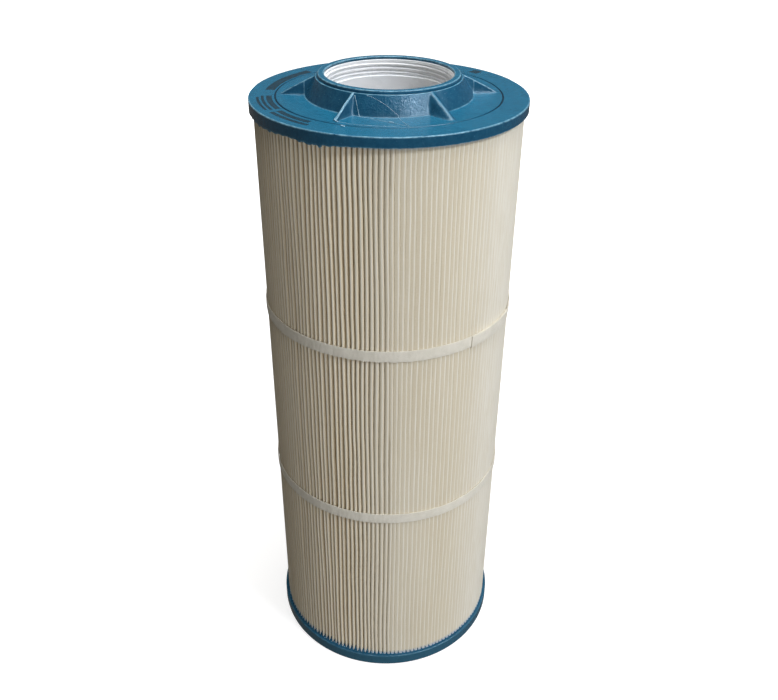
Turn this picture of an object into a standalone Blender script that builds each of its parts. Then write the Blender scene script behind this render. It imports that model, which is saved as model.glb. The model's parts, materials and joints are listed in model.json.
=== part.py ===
"""A pool filter cartridge: a pleated media pack on a lattice core, potted between two cast urethane
end caps. The upper cap carries a ribbed neck with a threaded plastic insert. Metres, +Z up; the
origin is the centre of the bottom face."""

from math import cos, radians, sin, tau

import bmesh
import bpy

# Driving dimensions
CAP_RADIUS = 0.1135
BODY_HEIGHT = 0.560
NECK_HEIGHT = 0.017
TOP_CAP_SIDE = 0.0083
BOTTOM_CAP_SIDE = 0.0123
MEDIA_RADIUS = 0.1103
MEDIA_INNER_RADIUS = 0.0578
PLEATS = 166
MEDIA_THICKNESS = 0.0006
BAND_HEIGHT = 0.0109
UPPER_BAND_TOP = 0.3824
LOWER_BAND_TOP = 0.2058
INSERT_RADIUS = 0.0532
GUSSETS = 6

# Fits and finishes
GAP = 0.0003  # clearance between pieces that touch
EDGE = 0.0006  # small radius on cast edges, cut as a chamfer
POTTING_DEPTH = 0.004  # how far the media goes into each cap
CAP_WALL = 0.0029  # lip of a cap outside the pleat tips
SEGMENTS = 60

# Neck of the upper cap
RIM_RADIUS = 0.0575
RIM_INNER_RADIUS = 0.0522  # a lip that overhangs the insert's top edge
RIM_STEP = 0.0024
LEDGE_RADIUS = 0.0593
CONE_BASE_RADIUS = 0.068
FILLET = 0.0016
GROOVE_RADIUS = 0.0919
GROOVE_WIDTH = 0.0012
GROOVE_DEPTH = 0.0008
GUSSET_TIP_RADIUS = 0.0884
GUSSET_RIDGE = 0.0018
GUSSET_BASE = 0.0072
GUSSET_SINK = 0.0021  # how far a gusset reaches into the cap before it is joined
GUSSET_ROOT_DEPTH = 0.0012
FIRST_GUSSET = radians(3.0)

# Threaded insert
INSERT_DROP = 0.0024  # its top edge below the rim
INSERT_LENGTH = 0.041
SLEEVE_RADIUS = 0.0498
THREAD_ROOT = 0.0514
THREAD_CREST = 0.0501
THREAD_PITCH = 0.0035
THREAD_TURNS = 2.5
THREAD_START = 0.0018  # the thread's first turn above the sleeve's shoulder
THREAD_ZONE = 0.0129  # from the insert's top edge down to the sleeve's shoulder
THREAD_STEPS = 48
ANCHOR_RADIUS = 0.0610
ANCHOR_HEIGHT = 0.003
ANCHOR_TOP = 0.565

# Core
CORE_RADIUS = 0.0573
CORE_INNER_RADIUS = 0.0538
CORE_SECTIONS = ("core_section_lower", "core_section_middle", "core_section_upper")
CORE_COLUMNS = 36
COLUMNS_PER_RIB = 3  # one rib column and two open ones
WINDOW_ROWS = 3
CORE_RING = 0.006

# Bands
BAND_THICKNESS = 0.0008
BAND_OVERLAP = radians(30.5)
BAND_RAMP = radians(9.0)
BAND_STEP = radians(6.0)
GLUE_THICKNESS = 0.0003
UPPER_BAND_INNER_END = radians(-20.0)
LOWER_BAND_INNER_END = radians(118.0)

# Bottom recess, for the mould's centring plate
RECESS_RADIUS = 0.060
RECESS_DEPTH = 0.002

MEDIA_BOTTOM = BOTTOM_CAP_SIDE - POTTING_DEPTH
MEDIA_TOP = BODY_HEIGHT - TOP_CAP_SIDE + POTTING_DEPTH
NECK_TOP = BODY_HEIGHT + NECK_HEIGHT

URETHANE = ((0.055, 0.205, 0.315), 0.42)
WHITE_PLASTIC = ((0.72, 0.73, 0.74), 0.35)
CORE_PLASTIC = ((0.70, 0.71, 0.71), 0.5)
POLYESTER = ((0.66, 0.62, 0.53), 0.9)
BAND_POLYESTER = ((0.68, 0.65, 0.58), 0.9)
HOT_MELT = ((0.60, 0.54, 0.38), 0.45)


def clear_scene():
    for thing in list(bpy.data.objects):
        bpy.data.objects.remove(thing)


def material(name, look):
    color, roughness = look
    made = bpy.data.materials.new(name)
    made.use_nodes = True
    shader = made.node_tree.nodes["Principled BSDF"]
    shader.inputs["Base Color"].default_value = (*color, 1.0)
    shader.inputs["Roughness"].default_value = roughness
    shader.inputs["Metallic"].default_value = 0.0
    return made


def add_object(name, bm, look, smooth_below=radians(40)):
    bmesh.ops.recalc_face_normals(bm, faces=bm.faces)
    mesh = bpy.data.meshes.new(name)
    bm.to_mesh(mesh)
    bm.free()
    mesh.shade_smooth()
    mesh.set_sharp_from_angle(angle=smooth_below)
    made = bpy.data.objects.new(name, mesh)
    bpy.context.scene.collection.objects.link(made)
    mesh.materials.append(material(name + "_material", look))
    return made


def lathe(name, profile, look, segments=SEGMENTS):
    """Turns a closed outline of (radius, height) points about Z. A point at radius 0 is a pole."""
    bm = bmesh.new()
    points = [bm.verts.new((r, 0.0, z)) for r, z in profile]
    closed = all(r > 0 for r, _ in profile)
    pairs = list(zip(points, points[1:]))
    if closed:
        pairs.append((points[-1], points[0]))
    edges = [bm.edges.new(pair) for pair in pairs]
    bmesh.ops.spin(
        bm, geom=points + edges, cent=(0, 0, 0), axis=(0, 0, 1), angle=tau, steps=segments, use_duplicate=False
    )
    bmesh.ops.remove_doubles(bm, verts=bm.verts, dist=1e-6)
    return add_object(name, bm, look)


def polar(radius, angle, z):
    return (radius * cos(angle), radius * sin(angle), z)


def top_end_cap():
    """The cast cap: lip, potting trough, witness groove, conical neck with a stepped rim."""
    lip = BODY_HEIGHT - TOP_CAP_SIDE
    trough = MEDIA_TOP + GAP
    bore = INSERT_RADIUS + GAP
    anchor = ANCHOR_RADIUS + GAP
    under_lip = NECK_TOP - INSERT_DROP + GAP
    half_groove = GROOVE_WIDTH / 2
    profile = [
        (CAP_RADIUS - CAP_WALL, lip),
        (CAP_RADIUS - EDGE, lip),
        (CAP_RADIUS, lip + EDGE),
        (CAP_RADIUS, BODY_HEIGHT - EDGE),
        (CAP_RADIUS - EDGE, BODY_HEIGHT),
        (GROOVE_RADIUS + half_groove, BODY_HEIGHT),
        (GROOVE_RADIUS, BODY_HEIGHT - GROOVE_DEPTH),
        (GROOVE_RADIUS - half_groove, BODY_HEIGHT),
        (CONE_BASE_RADIUS + FILLET, BODY_HEIGHT),
        (CONE_BASE_RADIUS, BODY_HEIGHT + FILLET / 2),
        (LEDGE_RADIUS, NECK_TOP - RIM_STEP),
        (RIM_RADIUS, NECK_TOP - RIM_STEP),
        (RIM_RADIUS, NECK_TOP - EDGE),
        (RIM_RADIUS - EDGE, NECK_TOP),
        (RIM_INNER_RADIUS + EDGE, NECK_TOP),
        (RIM_INNER_RADIUS, NECK_TOP - EDGE),
        (RIM_INNER_RADIUS, under_lip),
        (bore, under_lip),
        (bore, ANCHOR_TOP + GAP),
        (anchor, ANCHOR_TOP + GAP),
        (anchor, ANCHOR_TOP - ANCHOR_HEIGHT - GAP),
        (bore, ANCHOR_TOP - ANCHOR_HEIGHT - GAP),
        (bore, trough),
        (CAP_RADIUS - CAP_WALL, trough),
    ]
    cap = lathe("top_end_cap", profile, URETHANE)
    join = cap.modifiers.new("gussets", "BOOLEAN")
    join.operation = "UNION"
    join.solver = "EXACT"
    join.object = gusset_shapes()
    return cap


def gusset_shapes():
    """The six drafted fins, as one helper mesh that a Boolean joins to the cap."""
    low = BODY_HEIGHT - GUSSET_SINK
    high = NECK_TOP - RIM_STEP - EDGE
    high_root = LEDGE_RADIUS - GUSSET_ROOT_DEPTH
    low_root = CONE_BASE_RADIUS - 2 * GUSSET_ROOT_DEPTH
    tip_sink = 0.0001  # the ridge runs out just under the face
    bm = bmesh.new()
    for i in range(GUSSETS):
        angle = FIRST_GUSSET + i * tau / GUSSETS
        along = (cos(angle), sin(angle))
        across = (-sin(angle), cos(angle))

        def corner(radius, side, z):
            x = along[0] * radius + across[0] * side
            y = along[1] * radius + across[1] * side
            return bm.verts.new((x, y, z))

        ring = []
        for side in (-1, 1):
            ring.append(
                [
                    corner(low_root, side * GUSSET_BASE / 2, low),
                    corner(GUSSET_TIP_RADIUS + GUSSET_SINK, side * GUSSET_RIDGE / 2, low),
                    corner(GUSSET_TIP_RADIUS, side * GUSSET_RIDGE / 2, BODY_HEIGHT - tip_sink),
                    corner(high_root, side * GUSSET_RIDGE / 2, high),
                ]
            )
        left, right = ring
        bm.faces.new(left)
        bm.faces.new(list(reversed(right)))
        for k in range(4):
            bm.faces.new((left[k], right[k], right[(k + 1) % 4], left[(k + 1) % 4]))
    helper = add_object("gusset_shapes", bm, URETHANE)
    helper.hide_render = True
    helper.display_type = "WIRE"
    return helper


def neck_thread_insert():
    """The moulded sleeve cast into the neck: anchor flange outside, thread and shoulder inside."""
    top = NECK_TOP - INSERT_DROP
    shoulder = top - THREAD_ZONE
    profile = [
        (INSERT_RADIUS, top),
        (INSERT_RADIUS, ANCHOR_TOP),
        (ANCHOR_RADIUS, ANCHOR_TOP),
        (ANCHOR_RADIUS, ANCHOR_TOP - ANCHOR_HEIGHT),
        (INSERT_RADIUS, ANCHOR_TOP - ANCHOR_HEIGHT),
        (INSERT_RADIUS, top - INSERT_LENGTH),
        (SLEEVE_RADIUS, top - INSERT_LENGTH),
        (SLEEVE_RADIUS, shoulder - EDGE),
        (SLEEVE_RADIUS + EDGE, shoulder),
        (THREAD_ROOT, shoulder),
        (THREAD_ROOT, top - EDGE),
        (THREAD_ROOT + EDGE, top),
    ]
    insert = lathe("neck_thread_insert", profile, WHITE_PLASTIC, THREAD_STEPS)
    join = insert.modifiers.new("thread", "BOOLEAN")
    join.operation = "UNION"
    join.solver = "EXACT"
    join.object = thread_shape(shoulder + THREAD_START)
    return insert


def thread_shape(start):
    """The helical ridge, with a trapezoid section rooted in the wall and both ends tapered off."""
    wall = THREAD_ROOT + EDGE
    lowest_crest = THREAD_ROOT + 0.0002
    half_root = THREAD_PITCH * 0.38
    half_crest = THREAD_PITCH * 0.14
    count = round(THREAD_TURNS * THREAD_STEPS)
    taper_steps = 4
    bm = bmesh.new()
    rings = []
    for k in range(count + 1):
        angle = k * tau / THREAD_STEPS
        z = start + THREAD_PITCH * k / THREAD_STEPS
        grown = min(1.0, (min(k, count - k) + 0.15) / taper_steps)
        crest = lowest_crest - grown * (lowest_crest - THREAD_CREST)
        section = [(wall, -half_root), (crest, -half_crest), (crest, half_crest), (wall, half_root)]
        rings.append([bm.verts.new(polar(r, angle, z + dz)) for r, dz in section])
    for a, b in zip(rings, rings[1:]):
        for k in range(4):
            bm.faces.new((a[k], a[(k + 1) % 4], b[(k + 1) % 4], b[k]))
    bm.faces.new(rings[0])
    bm.faces.new(list(reversed(rings[-1])))
    helper = add_object("thread_shape", bm, WHITE_PLASTIC)
    helper.hide_render = True
    helper.display_type = "WIRE"
    return helper


def core_section(name, bottom, top):
    """A moulded lattice tube: upright ribs and level rings around square windows."""
    window = (top - bottom - (WINDOW_ROWS + 1) * CORE_RING) / WINDOW_ROWS
    levels = [bottom]
    for _ in range(WINDOW_ROWS):
        levels.append(levels[-1] + CORE_RING)
        levels.append(levels[-1] + window)
    levels.append(top)
    rows = len(levels) - 1

    def is_solid(column, row):
        return row % 2 == 0 or column % COLUMNS_PER_RIB == 0

    bm = bmesh.new()
    corners = {}

    def corner(radius, column, level):
        column %= CORE_COLUMNS
        if (radius, column, level) not in corners:
            place = polar(radius, column * tau / CORE_COLUMNS, levels[level])
            corners[radius, column, level] = bm.verts.new(place)
        return corners[radius, column, level]

    inner, outer = CORE_INNER_RADIUS, CORE_RADIUS
    for column in range(CORE_COLUMNS):
        for row in range(rows):
            if not is_solid(column, row):
                continue
            for radius in (inner, outer):
                bm.faces.new(
                    (
                        corner(radius, column, row),
                        corner(radius, column + 1, row),
                        corner(radius, column + 1, row + 1),
                        corner(radius, column, row + 1),
                    )
                )
            for step, side in ((-1, column), (1, column + 1)):
                if not is_solid((column + step) % CORE_COLUMNS, row):
                    bm.faces.new(
                        (
                            corner(inner, side, row),
                            corner(outer, side, row),
                            corner(outer, side, row + 1),
                            corner(inner, side, row + 1),
                        )
                    )
            for step, level in ((-1, row), (1, row + 1)):
                beyond = row + step
                if not 0 <= beyond < rows or not is_solid(column, beyond):
                    bm.faces.new(
                        (
                            corner(inner, column, level),
                            corner(outer, column, level),
                            corner(outer, column + 1, level),
                            corner(inner, column + 1, level),
                        )
                    )
    return add_object(name, bm, CORE_PLASTIC)


def core_sections():
    """Three sections butted end to end between the floors of the two caps."""
    count = len(CORE_SECTIONS)
    length = (MEDIA_TOP - MEDIA_BOTTOM - (count - 1) * GAP) / count
    for i, name in enumerate(CORE_SECTIONS):
        bottom = MEDIA_BOTTOM + i * (length + GAP)
        core_section(name, bottom, bottom + length)


def pleat_outline():
    """Points of the folded sheet's two faces, in step: outside and inside pairs along its length."""
    pitch = tau / PLEATS
    tip = MEDIA_THICKNESS / MEDIA_RADIUS  # half the width of a fold at the tips
    root = MEDIA_THICKNESS / MEDIA_INNER_RADIUS
    fold = 0.0008  # depth of the doubled sheet at a fold
    seam = (GAP + MEDIA_THICKNESS / 2) / MEDIA_INNER_RADIUS
    pairs = [((MEDIA_INNER_RADIUS, seam), (MEDIA_INNER_RADIUS, seam + root))]
    for j in range(PLEATS):
        middle = (j + 0.5) * pitch
        notch = (MEDIA_RADIUS - fold, middle)
        pairs.append(((MEDIA_RADIUS, middle - tip), notch))
        pairs.append(((MEDIA_RADIUS, middle + tip), notch))
        if j < PLEATS - 1:
            valley = (j + 1) * pitch
            notch = (MEDIA_INNER_RADIUS + fold, valley)
            pairs.append((notch, (MEDIA_INNER_RADIUS, valley - root)))
            pairs.append((notch, (MEDIA_INNER_RADIUS, valley + root)))
    pairs.append(((MEDIA_INNER_RADIUS, tau - seam), (MEDIA_INNER_RADIUS, tau - seam - root)))
    return pairs


def pleated_media():
    """One long sheet folded into radial pleats. Its two ends meet at the seam bead."""
    bm = bmesh.new()
    corners = {}

    def corner(point, z):
        if (point, z) not in corners:
            corners[point, z] = bm.verts.new(polar(point[0], point[1], z))
        return corners[point, z]

    def face(*points):
        different = list(dict.fromkeys(points))
        if len(different) > 2:
            bm.faces.new(different)

    pairs = pleat_outline()
    low, high = MEDIA_BOTTOM, MEDIA_TOP
    for (out_a, in_a), (out_b, in_b) in zip(pairs, pairs[1:]):
        face(corner(out_a, low), corner(out_b, low), corner(in_b, low), corner(in_a, low))
        face(corner(out_a, high), corner(out_b, high), corner(in_b, high), corner(in_a, high))
        face(corner(out_a, low), corner(out_b, low), corner(out_b, high), corner(out_a, high))
        face(corner(in_a, low), corner(in_b, low), corner(in_b, high), corner(in_a, high))
    for out_end, in_end in (pairs[0], pairs[-1]):
        face(corner(out_end, low), corner(in_end, low), corner(in_end, high), corner(out_end, high))
    return add_object("pleated_media", bm, POLYESTER, radians(20))


def box(name, low, high, look):
    bm = bmesh.new()
    bmesh.ops.create_cube(bm, size=1.0)
    for v in bm.verts:
        v.co = [low[i] if v.co[i] < 0 else high[i] for i in range(3)]
    return add_object(name, bm, look)


def media_seam_bead():
    """The strip of hot melt that closes the sheet into a ring, in the valley at +X."""
    half = MEDIA_THICKNESS / 2
    depth = 0.006
    low = (MEDIA_INNER_RADIUS + GAP, -half, MEDIA_BOTTOM)
    high = (MEDIA_INNER_RADIUS + GAP + depth, half, MEDIA_TOP)
    return box("media_seam_bead", low, high, HOT_MELT)


def band_layer_gap():
    return GLUE_THICKNESS + 2 * GAP


def strip_around(name, sections, low, high, look):
    """A strip bent through (angle, inner radius, outer radius) sections, closed at both ends."""
    bm = bmesh.new()
    rings = []
    for angle, inner, outer in sections:
        rings.append(
            [
                bm.verts.new(polar(inner, angle, low)),
                bm.verts.new(polar(outer, angle, low)),
                bm.verts.new(polar(outer, angle, high)),
                bm.verts.new(polar(inner, angle, high)),
            ]
        )
    for a, b in zip(rings, rings[1:]):
        for k in range(4):
            bm.faces.new((a[k], a[(k + 1) % 4], b[(k + 1) % 4], b[k]))
    bm.faces.new(rings[0])
    bm.faces.new(list(reversed(rings[-1])))
    return add_object(name, bm, look)


def band(name, top, inner_end):
    """A strap once round the pleat tips. Its outer end laps over its inner end."""
    first = MEDIA_RADIUS + GAP
    lift = BAND_THICKNESS + band_layer_gap()
    steps = round((tau + BAND_OVERLAP) / BAND_STEP)
    sections = []
    for k in range(steps + 1):
        travelled = (tau + BAND_OVERLAP) * k / steps
        ramp = (travelled - (tau - BAND_RAMP)) / (BAND_RAMP * 0.6)
        inner = first + lift * min(1.0, max(0.0, ramp))
        sections.append((inner_end - travelled, inner, inner + BAND_THICKNESS))
    return strip_around(name, sections, top - BAND_HEIGHT, top, BAND_POLYESTER)


def band_glue(name, top, inner_end):
    """The film of hot melt between the two layers of a band's lap."""
    inner = MEDIA_RADIUS + GAP + BAND_THICKNESS + GAP
    margin = radians(3.0)
    inset = 0.002
    span = BAND_OVERLAP - 2 * margin
    steps = round(span / BAND_STEP)
    sections = []
    for k in range(steps + 1):
        angle = inner_end - margin - span * k / steps
        sections.append((angle, inner, inner + GLUE_THICKNESS))
    return strip_around(name, sections, top - BAND_HEIGHT + inset, top - inset, HOT_MELT)


def bottom_end_cap():
    """The closed cast cap: foot ring, shallow centre recess, and a trough for the media and core."""
    floor = MEDIA_BOTTOM - GAP
    profile = [
        (0.0, RECESS_DEPTH),
        (RECESS_RADIUS, RECESS_DEPTH),
        (RECESS_RADIUS + RECESS_DEPTH, 0.0),
        (CAP_RADIUS - 2 * EDGE, 0.0),
        (CAP_RADIUS, 2 * EDGE),
        (CAP_RADIUS, BOTTOM_CAP_SIDE - EDGE),
        (CAP_RADIUS - EDGE, BOTTOM_CAP_SIDE),
        (CAP_RADIUS - CAP_WALL, BOTTOM_CAP_SIDE),
        (CAP_RADIUS - CAP_WALL, floor),
        (0.0, floor),
    ]
    return lathe("bottom_end_cap", profile, URETHANE)


def main():
    clear_scene()
    bottom_end_cap()
    core_sections()
    pleated_media()
    media_seam_bead()
    band("upper_band", UPPER_BAND_TOP, UPPER_BAND_INNER_END)
    band_glue("upper_band_glue", UPPER_BAND_TOP, UPPER_BAND_INNER_END)
    band("lower_band", LOWER_BAND_TOP, LOWER_BAND_INNER_END)
    band_glue("lower_band_glue", LOWER_BAND_TOP, LOWER_BAND_INNER_END)
    top_end_cap()
    neck_thread_insert()


main()
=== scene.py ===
"""Looks for the pool filter cartridge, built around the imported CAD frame. Metres, +Z up."""

import json
from math import cos, pi, radians, sin, tau

import bpy
import numpy as np
from mathutils import Matrix, Vector


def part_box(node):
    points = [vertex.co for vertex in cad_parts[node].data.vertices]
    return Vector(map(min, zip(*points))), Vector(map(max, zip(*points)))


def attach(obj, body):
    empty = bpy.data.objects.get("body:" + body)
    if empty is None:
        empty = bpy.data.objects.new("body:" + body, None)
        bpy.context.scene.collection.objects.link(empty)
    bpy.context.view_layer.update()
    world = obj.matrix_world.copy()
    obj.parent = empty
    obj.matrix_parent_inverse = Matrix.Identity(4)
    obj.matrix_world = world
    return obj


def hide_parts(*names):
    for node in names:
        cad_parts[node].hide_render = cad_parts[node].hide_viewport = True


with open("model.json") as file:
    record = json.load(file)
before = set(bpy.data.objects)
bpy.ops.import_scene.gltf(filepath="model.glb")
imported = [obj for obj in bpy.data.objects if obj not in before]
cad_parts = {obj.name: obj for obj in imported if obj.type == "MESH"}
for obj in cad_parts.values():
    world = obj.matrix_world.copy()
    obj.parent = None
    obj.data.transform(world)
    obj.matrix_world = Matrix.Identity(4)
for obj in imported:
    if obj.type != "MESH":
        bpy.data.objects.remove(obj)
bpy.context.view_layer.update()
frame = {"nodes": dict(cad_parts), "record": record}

MM = 0.001

# Places and sizes, from the frame
BOTTOM_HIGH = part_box("bottom_end_cap")[1]
TOP_LOW, TOP_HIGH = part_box("top_end_cap")
INSERT_LOW, INSERT_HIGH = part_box("neck_thread_insert")
MEDIA_LOW, MEDIA_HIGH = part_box("pleated_media")
CORE_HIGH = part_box("core_section_lower")[1]
MOUNTS = {mount["name"]: mount["pos_m"] for mount in frame["record"]["mounts"]}

CAP_RADIUS = TOP_HIGH.x
CAP_TOP = MOUNTS["top_ring_face"][2]
NECK_TOP = TOP_HIGH.z
TOP_LIP = TOP_LOW.z
BOTTOM_RIM = BOTTOM_HIGH.z
MEDIA_RADIUS = MEDIA_HIGH.x
MEDIA_CLEAR = 0.25 * MM
CORE_RADIUS = CORE_HIGH.x

# The neck and its fins
RIM_RADIUS = 57.5 * MM
RIM_INNER = 52.2 * MM
INSERT_OUTER = 53.2 * MM
RIM_STEP = 2.4 * MM
LEDGE_RADIUS = 59.3 * MM
CONE_BASE = 68.0 * MM
GROOVE_RADIUS = 91.9 * MM
GUSSETS = 6
FIRST_GUSSET = radians(3.0)
GUSSET_TIP = 88.4 * MM
GUSSET_HALF_RIDGE = 0.85 * MM
GUSSET_SLOPE = 3.6
GUSSET_HOLLOW = 0.14
GUSSET_ROUND = 0.25 * MM
BLUNT_FIN = radians(-57.0)
BLUNT_FALL = 0.16 * MM
BLUNT_POWER = 2.2
# The front of the cone, where the painted highlight line at its foot is left off.
CONE_FRONT = radians(-82)

# Plain bars where the maker's print would be: radii in millimetres, azimuths in degrees
PRINT_BARS = (
    (93.5, 101.5, 136, 176),
    (94.5, 99.0, -174, -151),
    (100.8, 103.2, -174, -151),
    (104.8, 107.0, -172, -152),
    (96.0, 100.8, -148, -126),
    (102.6, 106.4, -148, -124),
    (99.0, 108.0, 40.5, 45.5),
)

# Ragged blue under the upper cap's lip, deepest on the left: partly cast flash, partly a dark stand-in
# for the shade under the lip and between the pleat tips
DRIP_AND_SHADE_AZIMUTH = radians(-144)
DRIP_AND_SHADE_REACH = radians(42)
DRIP_AND_SHADE_RAMP = radians(16)
DRIP_AND_SHADE_DEPTH = 3.9 * MM

# Hairs and crumbs of cast flash: points as (radius in mm, azimuth in degrees), and thickness in mm
FLASH = (
    ("flash_thread_front", ((59.9, -106), (67.5, -84), (78.0, -82.5), (90.5, -80.2)), 0.20),
    ("flash_thread_fin", ((60.4, -115), (64.4, -111.6), (69.5, -108)), 0.26),
    ("flash_thread_foot", ((68.6, -113.5), (73.2, -97.8), (80.7, -88.1), (90.3, -80.4)), 0.26),
    ("flash_thread_ring", ((87.4, -116.5), (88.9, -104.0), (89.4, -93.5), (88.6, -84.5)), 0.22),
    ("flash_thread_root", ((67.9, -116.8), (72.4, -117.2), (80.4, -116.9), (86.9, -117.6)), 0.24),
    ("flash_fleck_left", ((86.6, -117.8), (88.6, -114.8)), 0.75),
    ("flash_fleck_ring", ((95.4, -111.2), (96.2, -109.2)), 0.7),
    ("flash_fleck_front", ((79.0, -89.6), (81.2, -87.4)), 0.6),
)

# The insert's sleeve, thread and flange
SLEEVE_RADIUS = 49.85 * MM
THREAD_ROOT = 51.4 * MM
THREAD_CREST = 50.6 * MM
THREAD_PITCH = 3.5 * MM
THREAD_ZONE = 12.9 * MM
THREAD_START = 0.9 * MM
FLANGE_TOP = CAP_TOP + 5 * MM
FLANGE_HEIGHT = 3 * MM

# The pleats
PLEATS = 166
PLEAT_ROWS = 42
SHEET = 0.5 * MM
PLEAT_LEAN = -0.55
PLEAT_INNER = CORE_RADIUS + 0.5 * MM
FOLD_SIDE, FOLD_DEPTH = 0.42 * MM, 0.35 * MM
SEAM_SIDE = 0.75 * MM
OPEN_GAP, CLOSED_GAP = 0.08 * MM, 0.02 * MM
SHARP_TIP_LIMIT = 1.32
# How much painted light the even pleats take all over, ridges included.
EVEN_PAINTED_LIGHT = 0.65

# Where each kind of pleat lies, in degrees: middle azimuth, half width, and the ramp inside its ends
CLOSED_REGION = (-22, 92, 36)
NARROW_GAP_REGION = (-22, 102, 34)
EVEN_REGION = (8, 66, 36)
KEEN_REGION = (-138, 54, 24)
LEANING_REGION = (-40, 68, 28)

# Half a pleat's section from the valley to the tip: distances in from the tip in mm, for an open and
# for a closed pleat, and the sideways offset as a share of the half width, for four kinds of pleat:
# plump, keen, flush with its neighbours but for a thin ridge, and quite even with them.
TIP_SECTION = (
    (-9.0, -9.0, (0.55, 0.80, 0.55, 0.55)),
    (-4.4, -4.4, (0.84, 0.93, 0.84, 0.84)),
    (-2.3, -2.3, (0.99, 0.80, 0.99, 0.99)),
    (-1.1, -0.65, (1.00, 0.62, 1.00, 1.00)),
    (-0.5, -0.2, (0.92, 0.46, 0.98, 1.00)),
    (-0.15, -0.03, (0.64, 0.27, 0.28, 0.92)),
)

# The straps
STRAP_OVERLAP = radians(30.5)
STRAP_RAMP = radians(6.0)
STRAP_LOOSE = radians(10)
STRAP_THICKNESS = 0.7 * MM
STRAP_LIFT = 0.961 * MM
STRAP_CLEAR = 0.22 * MM
UPPER_STRAP_INNER_END = radians(-20.0)
LOWER_STRAP_INNER_END = radians(118.0)

# The lower cap's recess and troughs
RECESS_DEPTH = 2 * MM
RECESS_INNER, RECESS_OUTER = 60 * MM, 62 * MM
CORE_SEAT_DEPTH = 3.9 * MM

# Light colours
WARM_LIGHT = (1.0, 0.99, 0.97)
PLAIN_LIGHT = (1.0, 1.0, 1.0)
LOW_KEY_LIGHT = (0.94, 0.98, 1.05)
HIGH_KEY_LIGHT = (0.94, 0.98, 1.06)
AMBIENT = (1.0, 0.96, 0.90, 1)
AMBIENT_STRENGTH = 0.128
WHITE = (1, 1, 1, 1)


# ---------------------------------------------------------------- meshes


def link_object(name, data):
    made = bpy.data.objects.new(name, data)
    bpy.context.scene.collection.objects.link(made)
    return made


def mesh_object(name, points, faces, smooth_angle=None):
    """A smooth mesh piece; a closed one that came out inside out is turned round."""
    points = np.asarray(points, float).reshape(-1, 3)
    faces = np.asarray(faces)
    corners = points[faces]
    volume = 0.0
    for k in range(1, faces.shape[1] - 1):
        volume += np.einsum("ij,ij->", corners[:, 0], np.cross(corners[:, k], corners[:, k + 1]))
    if volume < 0:
        faces = faces[:, ::-1]
    mesh = bpy.data.meshes.new(name)
    mesh.from_pydata(points.tolist(), [], faces.tolist())
    mesh.update()
    mesh.shade_smooth()
    if smooth_angle is not None:
        mesh.set_sharp_from_angle(angle=smooth_angle)
    return link_object(name, mesh)


def quads_between(rows, columns, close_rows, close_columns):
    """Quads of a grid of points that are numbered row by row."""
    r = np.arange(rows if close_rows else rows - 1)
    c = np.arange(columns if close_columns else columns - 1)
    r, c = np.meshgrid(r, c, indexing="ij")
    r, c = r.ravel(), c.ravel()
    r2, c2 = (r + 1) % rows, (c + 1) % columns
    return np.stack([r * columns + c, r * columns + c2, r2 * columns + c2, r2 * columns + c], axis=1)


def ring_object(name, grid, smooth_angle=None):
    """A closed ring: grid[i, j] is point i of the outline at column j around the axis."""
    rows, columns = grid.shape[:2]
    return mesh_object(name, grid, quads_between(rows, columns, True, True), smooth_angle)


def disc_object(name, grid):
    """A closed body whose outline runs from the axis to the axis, through grid's rows."""
    rows, columns = grid.shape[:2]
    points = np.concatenate([grid.reshape(-1, 3), [grid[0].mean(0)], [grid[-1].mean(0)]])
    body = quads_between(rows, columns, False, True)
    c = np.arange(columns)
    first, last = rows * columns, rows * columns + 1
    bottom = np.stack([np.full(columns, first), (c + 1) % columns, c, c], axis=1)
    end = (rows - 1) * columns
    beyond = end + (c + 1) % columns
    top = np.stack([np.full(columns, last), end + c, beyond, beyond], axis=1)
    faces = [tuple(dict.fromkeys(face)) for face in np.concatenate([body, bottom, top]).tolist()]
    mesh = bpy.data.meshes.new(name)
    mesh.from_pydata(points.tolist(), [], faces)
    mesh.update()
    mesh.shade_smooth()
    return link_object(name, mesh)


def rounded_path(corners, step, closed=True, arc_points=5):
    """Outline through (radius, height, corner radius) corners: arcs at the corners, points each step."""
    count = len(corners)
    path = []
    for i, (r, z, size) in enumerate(corners):
        here = np.array([r, z])
        at_end = not closed and i in (0, count - 1)
        if size <= 0 or at_end:
            path.append(here)
            continue
        before = np.array(corners[i - 1][:2]) - here
        after = np.array(corners[(i + 1) % count][:2]) - here
        size = min(size, 0.49 * np.linalg.norm(before), 0.49 * np.linalg.norm(after))
        a = here + before / np.linalg.norm(before) * size
        b = here + after / np.linalg.norm(after) * size
        for t in np.linspace(0, 1, arc_points):
            path.append((1 - t) ** 2 * a + 2 * t * (1 - t) * here + t * t * b)
    dense = []
    pairs = list(zip(path, path[1:]))
    if closed:
        pairs.append((path[-1], path[0]))
    for a, b in pairs:
        pieces = max(1, int(np.ceil(np.linalg.norm(b - a) / step)))
        for k in range(pieces):
            dense.append(a + (b - a) * k / pieces)
    if not closed:
        dense.append(path[-1])
    return np.array(dense)


def corner_turn(outline, closed=True):
    """How sharply an outline turns at each point, positive where the solid's edge sticks out."""
    before = outline - np.roll(outline, 1, axis=0)
    after = np.roll(outline, -1, axis=0) - outline
    cross = before[:, 0] * after[:, 1] - before[:, 1] * after[:, 0]
    turn = np.arctan2(cross, (before * after).sum(1))
    if not closed:
        turn[[0, -1]] = 0
    return turn


def store_values(piece, name, values):
    """Keeps a number for each point for the material to read, such as its depth, its painted highlight
    and its painted shade.
    """
    attribute = piece.data.attributes.new(name, "FLOAT", "POINT")
    full = np.zeros(len(piece.data.vertices), np.float32)
    full[: values.size] = values.ravel()
    attribute.data.foreach_set("value", full)


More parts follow.
